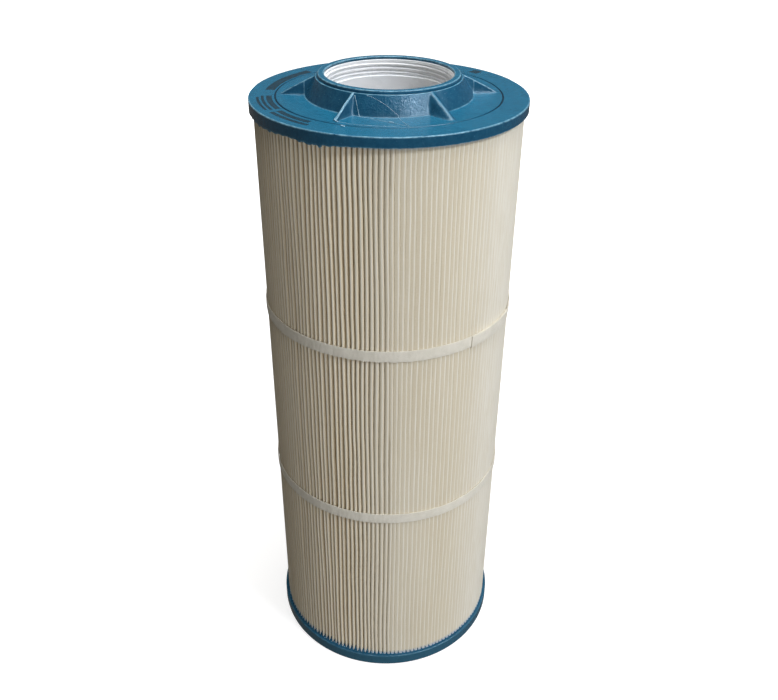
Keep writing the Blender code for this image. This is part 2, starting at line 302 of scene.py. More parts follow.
def smooth_noise(angles, waves, seed):
    """A smooth periodic random function of the angle, about -1 to 1."""
    rng = np.random.default_rng(seed)
    total = np.zeros_like(angles)
    for n in waves:
        total += rng.normal() * np.sin(n * angles + rng.uniform(0, tau))
    return total / np.sqrt(len(waves))


def smooth_max(a, b, k):
    """The larger of the two, with the crease between them filled over a width of about k."""
    h = np.maximum(k - np.abs(a - b), 0) / k
    return np.maximum(a, b) + h * h * k / 4


def smooth_step(x):
    x = np.clip(x, 0, 1)
    return x * x * (3 - 2 * x)


def turn_between(angles, angle):
    """How far round the axis each angle is from one angle, either way."""
    return np.abs((angles - angle + pi) % tau - pi)


# ---------------------------------------------------------------- upper cap


def fin_columns(radius):
    """Angles of the grid's columns at one radius. Beside each fin they run parallel to it."""
    beside = np.array([0.0, 0.45, 0.72, 0.86, 1.05, 1.35, 1.8, 2.4, 3.2, 4.4, 6.0]) * MM
    half_sector = pi / GUSSETS
    between = 22
    near = np.arcsin(beside / radius)
    far = near[-1] + (half_sector - near[-1]) * np.arange(1, between + 1) / between
    half = np.concatenate([near, far])
    angles = []
    for i in range(GUSSETS):
        centre = FIRST_GUSSET + i * tau / GUSSETS
        angles.append(centre - half[1:-1][::-1])
        angles.append(centre + half)
    return np.concatenate(angles)


def fin_offset(radius, angles):
    """How far to one side of the nearest fin's middle plane."""
    sector = tau / GUSSETS
    local = (angles - FIRST_GUSSET + sector / 2) % sector - sector / 2
    return np.abs(radius * np.sin(local))


def is_blunt(angles):
    """The sector of the one fin whose mould edge was worn round."""
    return turn_between(angles, BLUNT_FIN) < pi / GUSSETS


def fin_height(radius, angles):
    """Height of the fins' surface: a nearly straight ridge down to the disc, with drafted sides."""
    across = fin_offset(radius, angles)
    ridge_top = NECK_TOP - RIM_STEP
    run = np.clip((radius - LEDGE_RADIUS) / (GUSSET_TIP - LEDGE_RADIUS), 0, 1)
    ridge = ridge_top + (CAP_TOP - ridge_top) * (run - GUSSET_HOLLOW * run * (1 - run))
    round_over = np.minimum(GUSSET_ROUND * (across / GUSSET_HALF_RIDGE) ** 2, GUSSET_ROUND)
    side = GUSSET_SLOPE * np.maximum(across - GUSSET_HALF_RIDGE, 0)
    blunt_fall = BLUNT_FALL * (across / MM) ** BLUNT_POWER
    return np.where(is_blunt(angles), ridge - blunt_fall, ridge - round_over - side)


def drip_and_shade_depth(angles):
    """How far blue hangs below the lip, partly cast flash and partly a dark stand-in for shade: ragged on
    the left, nearly clean elsewhere.
    """
    ragged = smooth_step((DRIP_AND_SHADE_REACH - turn_between(angles, DRIP_AND_SHADE_AZIMUTH)) / DRIP_AND_SHADE_RAMP)
    light = 0.05 + 0.12 * smooth_step(smooth_noise(angles, (3, 5, 7), 5))
    teeth = np.clip(0.45 + 0.5 * smooth_noise(angles, (61, 83, 110, 127, 166), 11), 0, 1.15)
    lumps = np.clip(0.7 + 0.2 * smooth_noise(angles, (5, 9, 14, 22), 4), 0.35, 1.0)
    return DRIP_AND_SHADE_DEPTH * (ragged * lumps * (0.35 + 0.65 * teeth) + (1 - ragged) * light * teeth)


def top_cap():
    """The upper cap: lip, groove, cone, rim and fins, with blue hanging under the lip that is partly
    flash and partly a dark stand-in for shade. Its edge values hold painted highlights and painted shade.
    """
    wall = CAP_RADIUS - MEDIA_RADIUS - MEDIA_CLEAR
    bore = INSERT_OUTER + 0.25 * MM
    under_lip = INSERT_HIGH.z + 0.25 * MM
    trough = MEDIA_HIGH.z + 0.3 * MM
    corners = [
        (CAP_RADIUS - wall, TOP_LIP, 0.3 * MM),
        (CAP_RADIUS, TOP_LIP, 0.5 * MM),
        (CAP_RADIUS, CAP_TOP, 0.9 * MM),
        (GROOVE_RADIUS + 0.75 * MM, CAP_TOP, 0.3 * MM),
        (GROOVE_RADIUS + 0.25 * MM, CAP_TOP - 0.9 * MM, 0.2 * MM),
        (GROOVE_RADIUS - 0.35 * MM, CAP_TOP - 0.9 * MM, 0.2 * MM),
        (GROOVE_RADIUS - 0.75 * MM, CAP_TOP, 0.3 * MM),
        (CONE_BASE + 0.2 * MM, CAP_TOP, 0.9 * MM),
        (LEDGE_RADIUS, NECK_TOP - RIM_STEP, 0.35 * MM),
        (RIM_RADIUS + 0.15 * MM, NECK_TOP - RIM_STEP - 0.15 * MM, 0.15 * MM),
        (RIM_RADIUS - 0.1 * MM, NECK_TOP, 0.75 * MM),
        (RIM_INNER, NECK_TOP, 0.9 * MM),
        (RIM_INNER, under_lip, 0.2 * MM),
        (bore, under_lip, 0.2 * MM),
        (bore, trough, 0),
        (CAP_RADIUS - wall, trough, 0),
    ]
    outline = rounded_path(corners, 0.9 * MM, arc_points=6)
    turn = np.clip(corner_turn(outline) * 4.5, -1, 1)
    grid = np.zeros((len(outline), len(fin_columns(CAP_RADIUS)), 3))
    # How much painted highlight (above 0, with some wear) and painted shade (below 0) each point takes.
    edges = np.zeros(grid.shape[:2])
    for i, (r, z) in enumerate(outline):
        angles = fin_columns(max(r, 0.05))
        heights = np.full_like(angles, z)
        radii = np.full_like(angles, r)
        if LEDGE_RADIUS - 0.5 * MM < r < GROOVE_RADIUS - 2 * MM and z > CAP_TOP - 0.1 * MM:
            fin = fin_height(r, angles)
            proud = smooth_step((fin - heights) / (1.2 * MM))
            # A painted highlight line along each fin's ridge, faint on the blunt fin, and painted shade
            # at the fins' feet.
            ridge = smooth_step((GUSSET_HALF_RIDGE * 1.35 - fin_offset(r, angles)) / (0.3 * MM))
            edges[i] += proud * ridge * np.where(is_blunt(angles), 0.15, 1.0)
            foot = smooth_step(1 - np.abs(fin - heights) / (1.0 * MM))
            edges[i] -= 0.35 * foot * (1 - ridge)
            heights = smooth_max(heights, fin, 0.6 * MM)
        if z > CAP_TOP - 0.1 * MM and r > CONE_BASE:
            heights = heights + 0.021 * MM * smooth_noise(angles, (2, 3, 5, 9), int(r * 900))
            heights = heights + 0.05 * MM * smooth_noise(angles, (2, 3, 4), 2)
        # Blue hanging under the lip: partly cast flash, partly a dark stand-in for shade.
        if z < TOP_LIP + 0.9 * MM and r > MEDIA_RADIUS:
            heights = heights - drip_and_shade_depth(angles)
        # Edges that stick out take painted highlight, inward corners painted shade.
        bend = turn[i]
        # At the cone's foot a painted highlight line, left off at the front.
        if abs(r - CONE_BASE) < 3 * MM and z < NECK_TOP - RIM_STEP:
            shade = smooth_step((turn_between(angles, CONE_FRONT) - radians(26)) / radians(16))
            bend = np.minimum(turn[i], 0) * -0.6 * shade
        # In the groove painted shade, with a faint painted highlight at its lips.
        elif abs(r - GROOVE_RADIUS) < 1.2 * MM:
            bend = np.minimum(turn[i], 0) * 1.5 - 0.25 + 0.35 * max(turn[i], 0)
        edges[i] = np.clip(edges[i] + bend * (1 - np.clip(edges[i], 0, 1)), -1, 1)
        grid[i, :, 0] = radii * np.cos(angles)
        grid[i, :, 1] = radii * np.sin(angles)
        grid[i, :, 2] = heights
    cap = ring_object("cast_top_cap", grid)
    store_values(cap, "edge", edges)
    return cap


# ---------------------------------------------------------------- threaded insert


def threaded_insert():
    """The sleeve in the neck, with its helical thread inside and its anchor flange outside."""
    top, bottom = INSERT_HIGH.z, INSERT_LOW.z
    outer, flange = INSERT_OUTER, INSERT_HIGH.x
    shoulder = top - THREAD_ZONE
    columns = 288
    angles = np.arange(columns) * tau / columns
    corners = [
        (outer, top, 0.3 * MM),
        (outer, FLANGE_TOP, 0),
        (flange, FLANGE_TOP, 0.3 * MM),
        (flange, FLANGE_TOP - FLANGE_HEIGHT, 0.3 * MM),
        (outer, FLANGE_TOP - FLANGE_HEIGHT, 0),
        (outer, bottom, 0.4 * MM),
        (SLEEVE_RADIUS, bottom, 0.4 * MM),
    ]
    outside = rounded_path(corners, 4 * MM, closed=False)
    bore = np.arange(bottom + 1 * MM, shoulder - 1.5 * MM, 3 * MM)
    fine = np.arange(shoulder - 1.2 * MM, top - 1.0 * MM, 0.16 * MM)
    lip_edge = (THREAD_ROOT + 0.1 * MM, top, 0.6 * MM)
    lip_corners = [(THREAD_ROOT, top - 0.9 * MM, 0), lip_edge, (outer, top, 0)]
    lip = rounded_path(lip_corners, 0.3 * MM, closed=False)
    rows = []
    for r, z in outside:
        rows.append((np.full(columns, r), np.full(columns, z)))
    for z in bore:
        rows.append((np.full(columns, SLEEVE_RADIUS), np.full(columns, z)))
    for z in fine:
        travelled = (z - shoulder - THREAD_START) / THREAD_PITCH
        turns = travelled - angles / tau
        phase = np.abs((turns + 0.5) % 1 - 0.5)
        fade = smooth_step(travelled * 2.5) * smooth_step((top - 1.3 * MM - z) / (1.2 * MM))
        ridge = smooth_step((0.33 - phase) / 0.15) * fade
        threaded = THREAD_ROOT - (THREAD_ROOT - THREAD_CREST) * ridge
        below = smooth_step((shoulder - z) / (0.55 * MM))
        rows.append((threaded + (SLEEVE_RADIUS - threaded) * below, np.full(columns, z)))
    for r, z in lip[:-1]:
        rows.append((np.full(columns, r), np.full(columns, z)))
    grid = np.array([[r * np.cos(angles), r * np.sin(angles), z] for r, z in rows]).transpose(0, 2, 1)
    return ring_object("threaded_sleeve", grid, radians(50))


# ---------------------------------------------------------------- pleats


def pleat_heights():
    """Heights of the sheet's rows, closer together where the caps pinch it."""
    from_end = np.array([0, 3.2, 4.6, 6.2, 8.4, 11.5, 16]) * MM
    low, high = MEDIA_LOW.z + from_end, MEDIA_HIGH.z - from_end[::-1]
    between = np.linspace(low[-1], high[0], PLEAT_ROWS)[1:-1]
    return np.concatenate([low, between, high])


def pleat_azimuths():
    return (np.arange(PLEATS) + 0.5) * tau / PLEATS


def pleat_tips(heights):
    """Each tip's azimuth and radius at each height, and how far it may spread to either side."""
    rng = np.random.default_rng(21)
    span = MEDIA_HIGH.z - MEDIA_LOW.z
    t = (heights - MEDIA_LOW.z) / span
    shared = rng.normal(size=(PLEATS, 4))
    for k in range(4):
        looped = np.r_[shared[-2:, k], shared[:, k], shared[:2, k]]
        shared[:, k] = np.convolve(looped, (0.12, 0.22, 0.32, 0.22, 0.12), "valid") * 1.9
    wander = np.tile(rng.normal(size=PLEATS)[:, None] * 0.21 * MM, (1, len(heights)))
    for k, (waves, size) in enumerate(((1.0, 0.50), (2.3, 0.30), (5.1, 0.11), (9.3, 0.06))):
        phase = (rng.uniform(0, tau) + rng.normal(size=PLEATS) * 0.5)[:, None]
        wander = wander + size * MM * shared[:, k][:, None] * np.sin(tau * waves * t[None, :] + phase)
    ends = smooth_step(np.minimum(t, 1 - t) * 20)
    wander = np.clip(wander * (0.4 + 0.6 * ends)[None, :], -1.1 * MM, 1.1 * MM)
    uneven = 1 - 0.75 * within(*CLOSED_REGION)
    reach = MEDIA_RADIUS - 0.05 * MM - np.abs(rng.normal(size=PLEATS)) * 0.17 * MM * uneven
    height_of_wave = rng.normal(size=PLEATS)[:, None]
    wave = height_of_wave * np.sin(tau * 1.7 * t[None, :] + rng.uniform(0, tau, PLEATS)[:, None])
    reach = np.minimum(reach[:, None] + 0.08 * MM * wave * uneven[:, None], MEDIA_RADIUS - 0.02 * MM)
    azimuth = pleat_azimuths()[:, None] + wander / MEDIA_RADIUS
    following = np.roll(azimuth, -1, axis=0)
    following[-1] += tau
    open_low = 0.42 + 0.58 * smooth_step((heights - BOTTOM_RIM + 1.0 * MM) / (9 * MM))
    open_high = 0.82 + 0.18 * smooth_step((TOP_LIP - heights + 1.0 * MM) / (9 * MM))
    open_up = np.minimum(open_low, open_high)
    closed = within(*NARROW_GAP_REGION)
    widest = (1.92 + 0.10 * rng.normal(size=PLEATS) + 0.8 * closed)[:, None] * MM * open_up[None, :]
    lean = PLEAT_LEAN * within(*LEANING_REGION)[:, None]
    gap = OPEN_GAP + (CLOSED_GAP - OPEN_GAP) * closed[:, None]
    space = (following - azimuth) * MEDIA_RADIUS - SHEET - gap
    right = np.clip(space * (1 + lean) / 2, 0.45 * MM, widest * (1 + lean))
    left = np.clip(np.roll(space * (1 - lean) / 2, 1, axis=0), 0.45 * MM, widest * (1 - lean))
    return azimuth, reach, left, right


def within(centre, reach, ramp):
    """Which pleats lie within so many degrees of an azimuth, fading out over a ramp inside that."""
    return smooth_step((radians(reach) - turn_between(pleat_azimuths(), radians(centre))) / radians(ramp))


def pleat_kinds():
    """How much of each kind a pleat is: keen on the left, flush and then even towards the right."""
    keen = 0.4 + 0.6 * within(*KEEN_REGION)
    closed = within(*CLOSED_REGION)
    even = within(*EVEN_REGION)
    loose = 1 - closed
    return np.stack([loose * (1 - keen), loose * keen, closed * (1 - even), closed * even], axis=1)


def pleated_sheet():
    """The whole folded sheet with its thickness, and its length when unfolded at mid height.

    Each pleat has its own wander. The corners of closed pleats are squared off, so that the gaps
    between them hardly show. Attributes keep how deep a point lies, for painted warm light in the
    folds, and where painted highlights lie on the ridges and the even pleats.
    """
    heights = pleat_heights()
    rows = len(heights)
    azimuth, reach, left_half, right_half = pleat_tips(heights)
    pitch = tau / PLEATS
    inner = PLEAT_INNER + SHEET / 2
    same = np.ones(rows)
    kinds = pleat_kinds()
    centre = []
    ridges = []
    squared = []

    def valley(angle, side, depth=0.0):
        radius = (inner + depth) * same
        centre.append((radius, angle * same + side / radius))
        squared.append(0.0)

    for j in range(PLEATS):
        out = reach[j] - SHEET / 2
        if j == 0:
            valley(0.0, SEAM_SIDE)
        else:
            valley(j * pitch, 0.0)
            valley(j * pitch, FOLD_SIDE, FOLD_DEPTH)
        closed = kinds[j, 2] + kinds[j, 3]
        section = [
            (opened + closed * (shut - opened), float(np.dot(sides, kinds[j])))
            for opened, shut, sides in TIP_SECTION
        ]
        for back, side in section:
            radius = out + back * MM
            centre.append((radius, azimuth[j] - side * left_half[j] / radius))
        ridges.append(len(centre))
        centre.append((out, azimuth[j]))
        for back, side in reversed(section):
            radius = out + back * MM
            centre.append((radius, azimuth[j] + side * right_half[j] / radius))
        squared.extend([closed] * (2 * len(section) + 1))
        if j < PLEATS - 1:
            valley((j + 1) * pitch, -FOLD_SIDE, FOLD_DEPTH)
        else:
            valley(tau, -SEAM_SIDE)
    radius = np.array([c[0] for c in centre])
    angle = np.array([c[1] for c in centre])
    line = np.stack([radius * np.cos(angle), radius * np.sin(angle)], axis=-1)
    steps = np.diff(line, axis=0)
    steps /= np.linalg.norm(steps, axis=-1, keepdims=True)
    ahead = np.concatenate([steps, steps[-1:]])
    behind = np.concatenate([steps[:1], steps])
    along = ahead + behind
    size = np.maximum(np.linalg.norm(along, axis=-1, keepdims=True), 1e-9)
    normal = np.stack([along[..., 1], -along[..., 0]], axis=-1) / size
    normal *= 1 + np.array(squared)[:, None, None] * (np.minimum(2 / size, SHARP_TIP_LIMIT) - 1)
    count = len(line)
    z = np.broadcast_to(heights, line.shape[:2])[..., None]
    half = normal * SHEET / 2
    outside, inside = (np.concatenate([line + side * half, z], axis=-1) for side in (1, -1))
    loop = np.concatenate([outside, inside[::-1]])
    faces = [quads_between(2 * count, rows, True, False)]
    k = np.arange(count - 1)
    mate = 2 * count - 1 - k
    for row, turn in ((0, 1), (rows - 1, -1)):
        rim = np.stack([k, mate, mate - 1, k + 1], axis=1) * rows + row
        faces.append(rim[:, ::turn])
    sheet = mesh_object("pleated_sheet", loop, np.concatenate(faces), radians(70))
    # depth: how far in from the tips a point lies; the cloth takes painted warm light by it.
    depth = smooth_step((reach.max() - SHEET / 2 - radius) / (3.2 * MM))
    store_values(sheet, "depth", np.concatenate([depth, depth[::-1]]))
    even = np.repeat(kinds[:, 3], count // PLEATS + 1)[:count, None]
    # A painted highlight along each ridge; the even pleats towards the right are painted paler all over
    # as painted light.
    painted_pleat_light = np.zeros_like(depth) + EVEN_PAINTED_LIGHT * even
    painted_pleat_light[ridges] = 1 - (1 - EVEN_PAINTED_LIGHT) * kinds[:, 3:]
    store_values(sheet, "painted_pleat_light", np.concatenate([painted_pleat_light, painted_pleat_light[::-1]]))
    developed = np.linalg.norm(np.diff(line[:, rows // 2], axis=0), axis=1).sum()
    return sheet, float(developed)


# ---------------------------------------------------------------- bands


def strap(name, node, inner_end, seed):
    """A strap once round the tips and over its own end, dipping slightly between the tips.

    Also its length and its width.
    """
    low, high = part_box(node)
    columns = 1200
    travelled = np.linspace(0, tau + STRAP_OVERLAP, columns)
    angles = inner_end - travelled
    climb = smooth_step((travelled - (tau - STRAP_RAMP)) / STRAP_RAMP)
    dips = 0.035 * MM * np.cos(PLEATS * angles) * (1 - 0.5 * climb)
    crease = smooth_noise(angles, (31, 47, 66, 90), seed) * 0.048 * MM
    loose = smooth_step((travelled - tau + STRAP_LOOSE) / radians(12))
    loose = np.abs(loose * smooth_noise(angles, (11, 19, 43), seed + 1)) * 0.16 * MM
    middle = MEDIA_RADIUS + STRAP_CLEAR + STRAP_THICKNESS / 2 + STRAP_LIFT * climb + dips + crease + loose
    rows = np.linspace(0, 1, 7)
    wobble_low = smooth_noise(angles, (2, 3, 5, 23, 57), seed + 2) * 0.22 * MM
    wobble_high = smooth_noise(angles, (2, 3, 5, 29, 61), seed + 3) * 0.22 * MM
    bottom = low.z + 0.3 * MM + wobble_low
    top = high.z - 0.3 * MM + wobble_high
    sides = []
    for sign in (-1, 1):
        for row in rows if sign > 0 else rows[::-1]:
            curl = 0.12 * MM * (2 * row - 1) ** 2 * smooth_noise(angles, (17, 37, 51), seed + 5)
            edge = 1 - 0.35 * abs(2 * row - 1) ** 6
            r = middle + curl + sign * STRAP_THICKNESS / 2 * edge
            z = bottom + (top - bottom) * row
            sides.append(np.stack([r * np.cos(angles), r * np.sin(angles), z], axis=-1))
    grid = np.array(sides)
    around = quads_between(len(grid), columns, True, False)
    half = len(rows)
    ends = []
    for column in (0, columns - 1):
        for k in range(half - 1):
            a, b = k, k + 1
            c, d = 2 * half - 2 - k, 2 * half - 1 - k
            quad = [row * columns + column for row in (a, b, c, d)]
            ends.append(quad if column == 0 else quad[::-1])
    made = mesh_object(name, grid, np.concatenate([around, ends]), radians(60))
    length = float(np.linalg.norm(np.diff(grid[0][:, :2], axis=0), axis=1).sum())
    return made, length, float(high.z - low.z)


# ---------------------------------------------------------------- lower cap


def bottom_cap():
    """The closed cap. Urethane creeps up between the pleat tips that stand in it."""
    per_pleat = 8
    columns = PLEATS * per_pleat
    angles = np.arange(columns) * tau / columns
    rng = np.random.default_rng(3)
    climb = 1.6 * MM + 4.6 * MM * rng.random(PLEATS) ** 2.2
    valley = np.round(angles / (tau / PLEATS)).astype(int) % PLEATS
    mask = smooth_step(0.5 + 0.9 * np.cos(PLEATS * angles))
    rise = climb[valley] * mask
    corners = [
        (2 * MM, RECESS_DEPTH, 0),
        (RECESS_INNER, RECESS_DEPTH, 1.2 * MM),
        (RECESS_OUTER, 0, 1.0 * MM),
        (CAP_RADIUS, 0, 1.6 * MM),
        (CAP_RADIUS, BOTTOM_RIM, 1.1 * MM),
        (CAP_RADIUS - 2.6 * MM, BOTTOM_RIM - 0.35 * MM, 0.6 * MM),
        (MEDIA_RADIUS - 9 * MM, BOTTOM_RIM - 0.6 * MM, 0),
        (CORE_RADIUS - 5 * MM, BOTTOM_RIM - 0.6 * MM, 0.8 * MM),
        (CORE_RADIUS - 6 * MM, BOTTOM_RIM - CORE_SEAT_DEPTH, 0.8 * MM),
        (2 * MM, BOTTOM_RIM - CORE_SEAT_DEPTH, 0),
    ]
    outline = rounded_path(corners, 1.6 * MM, closed=False)
    turn = np.clip(corner_turn(outline, False) * 3.0, -1, 1)
    grid = np.zeros((len(outline), columns, 3))
    for i, (r, z) in enumerate(outline):
        top_side = z > BOTTOM_RIM - 0.9 * MM and CORE_RADIUS < r < MEDIA_RADIUS + 0.2 * MM
        share = smooth_step((MEDIA_RADIUS + 0.1 * MM - r) / (1.6 * MM))
        share *= smooth_step((r - 75 * MM) / (20 * MM))
        height = z + rise * share if top_side else np.full(columns, z)
        grid[i] = np.stack([r * np.cos(angles), r * np.sin(angles), height], axis=-1)
    cap = disc_object("cast_bottom_cap", grid)
    # Edges that stick out take painted highlight, inward corners painted shade.
    store_values(cap, "edge", np.repeat(turn[:, None], columns, axis=1))
    return cap


# ---------------------------------------------------------------- flash threads


def surface_height(r, angle):
    """Height of the upper cap's top face, without its groove."""
    cone_top = NECK_TOP - RIM_STEP
    cone = cone_top + (CAP_TOP - cone_top) * (r - LEDGE_RADIUS) / (CONE_BASE + 0.4 * MM - LEDGE_RADIUS)
    base = smooth_max(np.array(cone), np.array(CAP_TOP), 1.6 * MM)
    return float(smooth_max(base, fin_height(r, np.array(angle)), 1.1 * MM))


def flash_thread(name, ends, thickness, seed):
    """A hair of cast flash lying on the cap, between two or more (radius, azimuth) points."""
    rng = np.random.default_rng(seed)
    points = []
    for (r1, a1), (r2, a2) in zip(ends, ends[1:]):
        steps = 22
        start = np.array([r1 * cos(a1), r1 * sin(a1)])
        finish = np.array([r2 * cos(a2), r2 * sin(a2)])
        for k in range(steps):
            x, y = start + (finish - start) * k / steps
            r, angle = float(np.hypot(x, y)), float(np.arctan2(y, x))
            lift = thickness * (0.6 + 0.5 * rng.random())
            points.append((x, y, surface_height(r, angle) + lift))
    curve = bpy.data.curves.new(name, "CURVE")
    curve.dimensions = "3D"
    curve.bevel_depth = thickness / 2
    curve.bevel_resolution = 2
    curve.use_fill_caps = True
    spline = curve.splines.new("POLY")
    spline.points.add(len(points) - 1)
    for point, place in zip(spline.points, points):
        point.co = (*place, 1.0)
        point.radius = 0.55 + 0.9 * rng.random() ** 2
    return link_object(name, curve)


# ---------------------------------------------------------------- materials


class Shader:
    """A material's node tree, with short calls to add and link nodes."""

    def __init__(self, name, roughness, **sockets):
        self.material = bpy.data.materials.new(name)
        self.material.use_nodes = True
        self.tree = self.material.node_tree
        self.out = self.tree.nodes["Principled BSDF"]
        self.out.inputs["Roughness"].default_value = roughness
        for socket, value in sockets.items():
            self.out.inputs[socket.replace("_", " ")].default_value = value
        self.place = self.add("ShaderNodeTexCoord").outputs["Object"]

    def add(self, kind, inputs=None, **settings):
        node = self.tree.nodes.new(kind)
        for key, value in settings.items():
            setattr(node, key, value)
        for key, value in (inputs or {}).items():
            if hasattr(value, "is_linked"):
                self.tree.links.new(value, node.inputs[key])
            else:
                node.inputs[key].default_value = value
        return node

    def stretched(self, scale):
        return self.add("ShaderNodeMapping", {"Vector": self.place, "Scale": scale}).outputs[0]

    def noise(self, scale, detail=3.0, rough=0.55, where=None, distortion=0.0):
        inputs = {"Vector": where or self.place, "Scale": scale, "Detail": detail}
        inputs.update({"Roughness": rough, "Distortion": distortion})
        return self.add("ShaderNodeTexNoise", inputs).outputs["Fac"]

    def ramp(self, value, low, high, a=0.0, b=1.0):
        inputs = {"Value": value, "From Min": low, "From Max": high, "To Min": a, "To Max": b}
        return self.add("ShaderNodeMapRange", inputs, clamp=True).outputs[0]

    def math(self, operation, a, b=0.0):
        return self.add("ShaderNodeMath", {0: a, 1: b}, operation=operation).outputs[0]

    def mix(self, share, a, b):
        node = self.add("ShaderNodeMix", data_type="RGBA", blend_type="MIX")
        for key, value in ((0, share), (6, a), (7, b)):
            if hasattr(value, "is_linked"):
                self.tree.links.new(value, node.inputs[key])
            else:
                node.inputs[key].default_value = value
        return node.outputs[2]

    def bump(self, height, strength, distance, after=None):
        inputs = {"Height": height, "Strength": strength, "Distance": distance}
        if after is not None:
            inputs["Normal"] = after
        return self.add("ShaderNodeBump", inputs).outputs[0]

    def finish(self, color, normal=None, roughness=None):
        self.tree.links.new(color, self.out.inputs["Base Color"])
        if normal is not None:
            self.tree.links.new(normal, self.out.inputs["Normal"])
        if roughness is not None:
            self.tree.links.new(roughness, self.out.inputs["Roughness"])
        return self.material


def rgb(r, g, b):
    """A colour from display values of 0 to 255."""
    linear = []
    for value in (r, g, b):
        share = value / 255
        linear.append(share / 12.92 if share <= 0.04045 else ((share + 0.055) / 1.055) ** 2.4)
    return (*linear, 1.0)


def faded_print(s):
    """Where plain bars of worn ink lie on the ring: how much ink, by radius and azimuth."""
    parts = s.add("ShaderNodeSeparateXYZ", {0: s.place}).outputs
    squares = [s.math("MULTIPLY", part, part) for part in (parts[0], parts[1])]
    radius = s.math("SQRT", s.math("ADD", *squares))
    azimuth = s.math("ARCTAN2", parts[1], parts[0])
    ink = 0.0
    for low, high, start, end in PRINT_BARS:
        across = s.math("COMPARE", radius, (low + high) / 2 * MM)
        across.node.inputs[2].default_value = (high - low) / 2 * MM
        around = s.math("COMPARE", azimuth, radians((start + end) / 2))
        around.node.inputs[2].default_value = radians((end - start) / 2)
        ink = s.math("MAXIMUM", ink, s.math("MULTIPLY", across, around))
    broken = s.ramp(s.noise(420, 4, 0.75), 0.32, 0.54, 0.5, 0.95)
    upper = s.ramp(parts[2], CAP_TOP - 0.5 * MM, CAP_TOP - 0.3 * MM)
    return s.math("MULTIPLY", s.math("MULTIPLY", ink, broken), upper)


def urethane():
    """Cast blue polyurethane: satin and mottled, with fine pits and dust. Edges are paler with wear and a
    painted highlight, inward corners take painted shade, level top faces are lighter with dust and
    painted top light, and the lower cap's sides take painted floor light.
    """
    s = Shader("cast_urethane", 0.4, Specular_IOR_Level=0.8, Specular_Tint=(0.66, 0.88, 1.0, 1))
    body = s.mix(s.ramp(s.noise(22, 4), 0.3, 0.7), rgb(11, 67, 95), rgb(17, 78, 108))
    facing = s.add("ShaderNodeNewGeometry").outputs["Normal"]
    level = s.add("ShaderNodeSeparateXYZ", {0: facing}).outputs[2]
    height = s.add("ShaderNodeSeparateXYZ", {0: s.place}).outputs[2]
    # Level faces on top are lighter: partly dust, partly painted light from above.
    on_top = s.ramp(height, CAP_TOP - 3 * MM, CAP_TOP - 2 * MM)
    lit = s.math("MULTIPLY", s.ramp(level, 0.75, 0.98), on_top)
    dust_and_top_light = s.math("MULTIPLY", lit, s.ramp(s.noise(60, 3, 0.6), 0.25, 0.6, 0.8, 1.0))
    body = s.mix(dust_and_top_light, body, rgb(18, 101, 134))
    # The lower cap's sides and underside take a paler grey blue: painted light from the floor.
    on_lower_cap = s.ramp(height, 14 * MM, 16 * MM, 1.0, 0.0)
    painted_floor_light = s.math("MULTIPLY", s.ramp(level, 0.2, 0.5, 0.9, 0.0), on_lower_cap)
    body = s.mix(painted_floor_light, body, rgb(44, 93, 115))
    mottle = s.ramp(s.noise(240, 3, 0.6), 0.35, 0.75)
    body = s.mix(s.math("MULTIPLY", mottle, 0.16), body, rgb(62, 128, 158))
    dust = s.ramp(s.noise(900, 2, 0.7), 0.64, 0.76, 0.0, 0.45)
    body = s.mix(dust, body, rgb(96, 154, 182))
    body = s.mix(faded_print(s), body, rgb(14, 44, 58))
    # Edges that stick out are paler: partly wear, partly a painted highlight, weaker on the lower cap.
    edge = s.add("ShaderNodeAttribute", attribute_name="edge").outputs["Fac"]
    worn = s.math("MULTIPLY", s.ramp(edge, 0.25, 0.85), s.ramp(s.noise(190, 4, 0.7), 0.3, 0.62))
    pale = s.math("MULTIPLY", worn, s.ramp(height, 20 * MM, 22 * MM, 0.12, 0.7))
    body = s.mix(pale, body, rgb(140, 190, 211))
    # Painted shade in inward corners and the groove.
    painted_hollow_shade = s.ramp(edge, -0.8, -0.15, 0.8, 0.0)
    body = s.mix(painted_hollow_shade, body, rgb(6, 32, 48))
    grain = s.bump(s.noise(1100, 3, 0.7), 0.8, 0.0003)
    peel = s.bump(s.noise(430, 2, 0.6), 0.6, 0.0004, grain)
    waves = s.bump(s.noise(70, 3, 0.5), 0.3, 0.001, peel)
    pits = s.add("ShaderNodeTexVoronoi", {"Vector": s.place, "Scale": 260.0}).outputs["Distance"]
    pits = s.bump(s.ramp(pits, 0.02, 0.10), 0.4, 0.0003, waves)
    rough = s.ramp(s.noise(130, 4, 0.65), 0.3, 0.75, 0.15, 0.27)
    return s.finish(body, pits, rough)


def flash_material():
    """Thin urethane flash, paler than the body because light passes through it."""
    s = Shader("urethane_flash", 0.35)
    return s.finish(s.mix(s.noise(500, 2), rgb(120, 176, 204), rgb(196, 224, 236)))


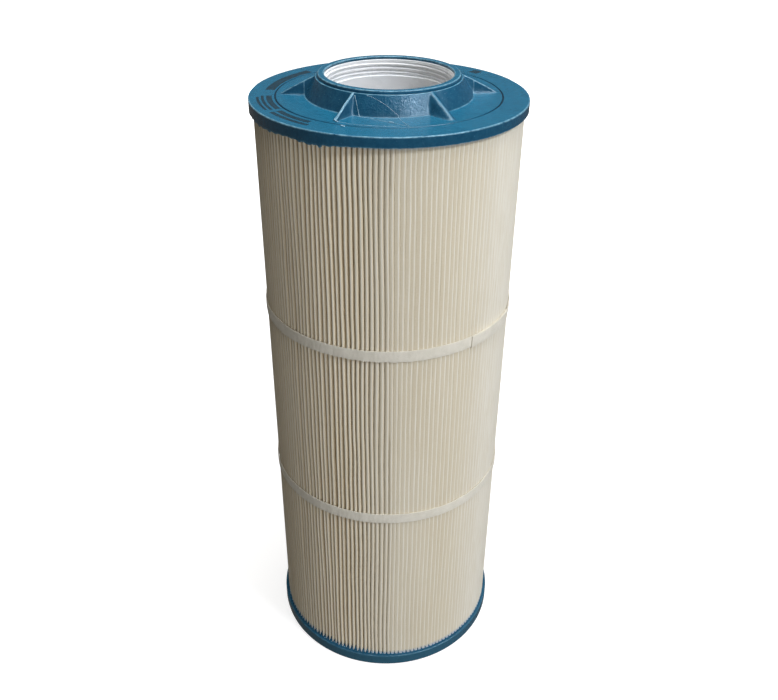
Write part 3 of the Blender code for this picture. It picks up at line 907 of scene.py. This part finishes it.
def spunbond():
    """Spun-bonded polyester: fine flat fibres, warmer in patches, with painted warm light in the folds,
    painted highlights on the ridges and painted light on the even pleats.
    """
    s = Shader("spunbond_polyester", 0.85, Sheen_Weight=0.1, Sheen_Roughness=0.5)
    long_fibres = s.noise(1.0, 4, 0.7, s.stretched((2600, 2600, 420)), 0.6)
    fibres = s.noise(1.0, 3, 0.7, s.stretched((900, 900, 2600)), 1.2)
    patches = s.ramp(s.noise(1.0, 3, 0.5, s.stretched((34, 34, 5))), 0.3, 0.7)
    color = s.mix(patches, rgb(219, 205, 175), rgb(227, 215, 188))
    # Painted warm light in the folds, lighter and warmer deeper in.
    depth = s.add("ShaderNodeAttribute", attribute_name="depth").outputs["Fac"]
    color = s.mix(s.math("MULTIPLY", depth, 0.9), color, rgb(244, 224, 186))
    color = s.mix(s.ramp(fibres, 0.42, 0.68, 0.0, 0.35), color, rgb(238, 235, 225))
    color = s.mix(s.ramp(long_fibres, 0.55, 0.75, 0.0, 0.30), color, rgb(190, 182, 162))
    # Painted highlight along the ridges and painted light over the even pleats, broken into streaks.
    painted_pleat_light = s.add("ShaderNodeAttribute", attribute_name="painted_pleat_light").outputs["Fac"]
    streaks = s.ramp(s.noise(1.0, 2, 0.5, s.stretched((700, 700, 40))), 0.25, 0.6, 0.4, 1.0)
    painted_pleat_light = s.math("MULTIPLY", painted_pleat_light, streaks)
    color = s.mix(painted_pleat_light, color, rgb(251, 247, 235))
    height = s.add("ShaderNodeSeparateXYZ", {0: s.place}).outputs[2]
    wet_low = s.ramp(height, BOTTOM_RIM + 4.5 * MM, BOTTOM_RIM + 0.5 * MM)
    wet_high = s.ramp(height, TOP_LIP - 3.0 * MM, TOP_LIP)
    wet_patches = s.ramp(s.noise(300, 3), 0.3, 0.6, 0.5, 0.95)
    wicked = s.math("MULTIPLY", s.math("MAXIMUM", wet_low, wet_high), wet_patches)
    color = s.mix(wicked, color, rgb(176, 190, 204))
    normal = s.bump(long_fibres, 0.35, 0.0003)
    normal = s.bump(fibres, 0.30, 0.0002, normal)
    return s.finish(color, normal)


def strap_polyester():
    """The same cloth, heavier and whiter, with crossing fibres that show."""
    s = Shader("strap_polyester", 0.85, Sheen_Weight=0.15)
    one = s.noise(1.0, 4, 0.7, s.stretched((900, 900, 2400)), 2.5)
    two = s.noise(1.0, 4, 0.7, s.stretched((2400, 2400, 700)), 2.5)
    clumps = s.ramp(s.noise(150, 3), 0.3, 0.7)
    color = s.mix(clumps, rgb(231, 224, 205), rgb(243, 236, 219))
    color = s.mix(s.ramp(one, 0.5, 0.7, 0.0, 0.55), color, rgb(246, 245, 240))
    color = s.mix(s.ramp(two, 0.55, 0.72, 0.0, 0.45), color, rgb(184, 178, 162))
    normal = s.bump(one, 0.5, 0.0004)
    normal = s.bump(two, 0.5, 0.0004, normal)
    return s.finish(color, normal)


def white_plastic(name, light, dark, roughness):
    """Injection-moulded plastic with flow marks, a fine grain and slight scuffs."""
    s = Shader(name, roughness, Specular_IOR_Level=0.5)
    flow = s.ramp(s.noise(1.0, 3, 0.5, s.stretched((40, 40, 140)), 0.8), 0.3, 0.7)
    color = s.mix(flow, light, dark)
    scuffs = s.ramp(s.noise(1.0, 4, 0.7, s.stretched((300, 300, 1600))), 0.68, 0.8, 0.0, 0.4)
    color = s.mix(scuffs, color, dark)
    rough = s.ramp(s.noise(90, 3), 0.3, 0.7, roughness - 0.06, roughness + 0.08)
    normal = s.bump(s.noise(700, 2), 0.08, 0.0002)
    return s.finish(color, normal, rough)


def hot_melt():
    """Set hot-melt adhesive: waxy amber with trapped bubbles."""
    s = Shader("hot_melt", 0.4)
    color = s.mix(s.ramp(s.noise(300, 3), 0.3, 0.7), rgb(196, 180, 132), rgb(214, 202, 164))
    bubbles = s.add("ShaderNodeTexVoronoi", {"Vector": s.place, "Scale": 900.0}).outputs["Distance"]
    return s.finish(color, s.bump(s.ramp(bubbles, 0.05, 0.3), 0.5, 0.0003))


def wear(piece, material):
    piece.data.materials.clear()
    piece.data.materials.append(material)


# ---------------------------------------------------------------- the pieces


def build_pieces():
    """Every visible piece, what it replaces and what it is made of."""
    blue = urethane()
    media_cloth = spunbond()
    strap_cloth = strap_polyester()
    insert_plastic = white_plastic("insert_plastic", rgb(249, 251, 253), rgb(240, 243, 246), 0.3)
    core_plastic = white_plastic("core_plastic", rgb(222, 223, 222), rgb(205, 206, 206), 0.45)
    glue = hot_melt()

    made = []
    for piece, node, material, slot in (
        (top_cap(), "top_end_cap", blue, "urethane"),
        (bottom_cap(), "bottom_end_cap", blue, "urethane"),
        (threaded_insert(), "neck_thread_insert", insert_plastic, "insert_plastic"),
    ):
        wear(piece, material)
        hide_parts(node)
        made.append(piece)

    sheet, developed = pleated_sheet()
    wear(sheet, media_cloth)
    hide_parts("pleated_media")
    made.append(sheet)

    for name, node, inner_end, seed in (
        ("upper_strap", "upper_band", UPPER_STRAP_INNER_END, 31),
        ("lower_strap", "lower_band", LOWER_STRAP_INNER_END, 47),
    ):
        band, length, width = strap(name, node, inner_end, seed)
        wear(band, strap_cloth)
        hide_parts(node)
        made.append(band)

    flash = flash_material()
    for seed, (name, ends, size) in enumerate(FLASH):
        thread = flash_thread(name, [(r * MM, radians(a)) for r, a in ends], size * MM, 60 + seed)
        wear(thread, flash)
        made.append(thread)

    for node in ("core_section_lower", "core_section_middle", "core_section_upper"):
        wear(frame["nodes"][node], core_plastic)
    for node in ("media_seam_bead", "upper_band_glue", "lower_band_glue"):
        wear(frame["nodes"][node], glue)
    for piece in made:
        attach(piece, "root")


# ---------------------------------------------------------------- studio


def studio_grey(s):
    return s.mix(s.noise(3, 2), (0.46, 0.46, 0.46, 1), (0.48, 0.48, 0.48, 1))


def floor():
    """A pale floor whose own glow grows outwards, so that its far part stays as pale as the near one."""
    bpy.ops.mesh.primitive_plane_add(size=24.0, location=(0, 0, 0))
    made = bpy.context.object
    made.name = "studio_floor"
    s = Shader("studio_floor", 0.9, Emission_Color=WHITE, Specular_IOR_Level=0.0)
    away = s.add("ShaderNodeVectorMath", {0: s.place}, operation="LENGTH").outputs["Value"]
    s.tree.links.new(s.ramp(away, 0.15, 1.3, 0.72, 1.0), s.out.inputs["Emission Strength"])
    wear(made, s.finish(studio_grey(s)))
    made.visible_diffuse = False
    made.visible_glossy = False


def wall():
    """A white studio wall far behind everything, seen only by the camera, for views from low down."""
    turns = 64
    outline = ((9.0, -0.02), (9.4, 0.4), (9.6, 1.2), (9.7, 9.0))
    angles = np.arange(turns) * tau / turns
    grid = np.array([[(r * cos(a), r * sin(a), z) for a in angles] for r, z in outline])
    made = mesh_object("studio_wall", grid, quads_between(len(outline), turns, False, True), pi)
    s = Shader("studio_wall", 0.9, Emission_Color=WHITE, Emission_Strength=1.0, Specular_IOR_Level=0.0)
    wear(made, s.finish(studio_grey(s)))
    made.visible_diffuse = False
    made.visible_glossy = False
    made.visible_shadow = False


def area_light(name, place, target, size, power, color):
    """A rectangular light at a place, turned towards a target."""
    data = bpy.data.lights.new(name, "AREA")
    data.shape = "RECTANGLE"
    data.size, data.size_y = size
    data.energy = power
    data.color = color
    made = link_object(name, data)
    made.location = place
    direction = Vector(target) - Vector(place)
    made.rotation_euler = direction.to_track_quat("-Z", "Y").to_euler()
    return made


def lights():
    """A broad overhead, a low and a high key on the right, fills at the front and back, an ambient.

    The low key reaches the pleats from under the upper cap, so the cap's top face stays dark. It and
    the fills leave no glints.
    """
    area_light("overhead", (0.3, 0.1, 2.6), (0, 0, 0.5), (1.7, 1.6), 50, WARM_LIGHT)
    half_way_up = (0, 0, 0.27)
    azimuth = radians(-60)
    place = (2.2 * cos(azimuth), 2.2 * sin(azimuth), 0.27)
    low = area_light("low_key_right", place, half_way_up, (1.5, 0.5), 15.5, LOW_KEY_LIGHT)
    low.visible_glossy = False
    cap = Vector((0, 0, 0.56))
    place = cap + 4.0 * Vector((0.572, -0.454, 0.674))
    area_light("high_key_right", place, cap, (0.8, 1.0), 80, HIGH_KEY_LIGHT)
    place = cap + 4.0 * Vector((0.0, -0.5, 0.866))
    front = area_light("front_top", place, cap, (1.2, 1.0), 12, PLAIN_LIGHT)
    front.visible_glossy = False
    azimuth = radians(96)
    place = (2.2 * cos(azimuth), 2.2 * sin(azimuth), 0.27)
    back = area_light("back_fill", place, half_way_up, (1.6, 0.5), 20, WARM_LIGHT)
    back.visible_glossy = False
    world = bpy.data.worlds.new("studio_world")
    world.use_nodes = True
    background = world.node_tree.nodes["Background"]
    background.inputs[0].default_value = AMBIENT
    background.inputs[1].default_value = AMBIENT_STRENGTH
    bpy.context.scene.world = world


def camera():
    """At the photographer's place: 0.7 m in front and 0.75 m up, looking 31.8 degrees down."""
    data = bpy.data.cameras.new("camera")
    data.sensor_width = 36.0
    data.lens = 39.7
    made = link_object("camera", data)
    place = Matrix.Translation((0.014 * CAP_RADIUS, -6.173 * CAP_RADIUS, 6.606 * CAP_RADIUS))
    look = Matrix.Rotation(radians(90 - 31.83), 4, "X")
    roll = Matrix.Rotation(radians(0.454), 4, "Z")
    made.matrix_world = place @ look @ roll
    bpy.context.scene.camera = made


build_pieces()
floor()
wall()
lights()
camera()
bpy.context.scene.view_settings.view_transform = "Standard"
bpy.context.view_layer.update()
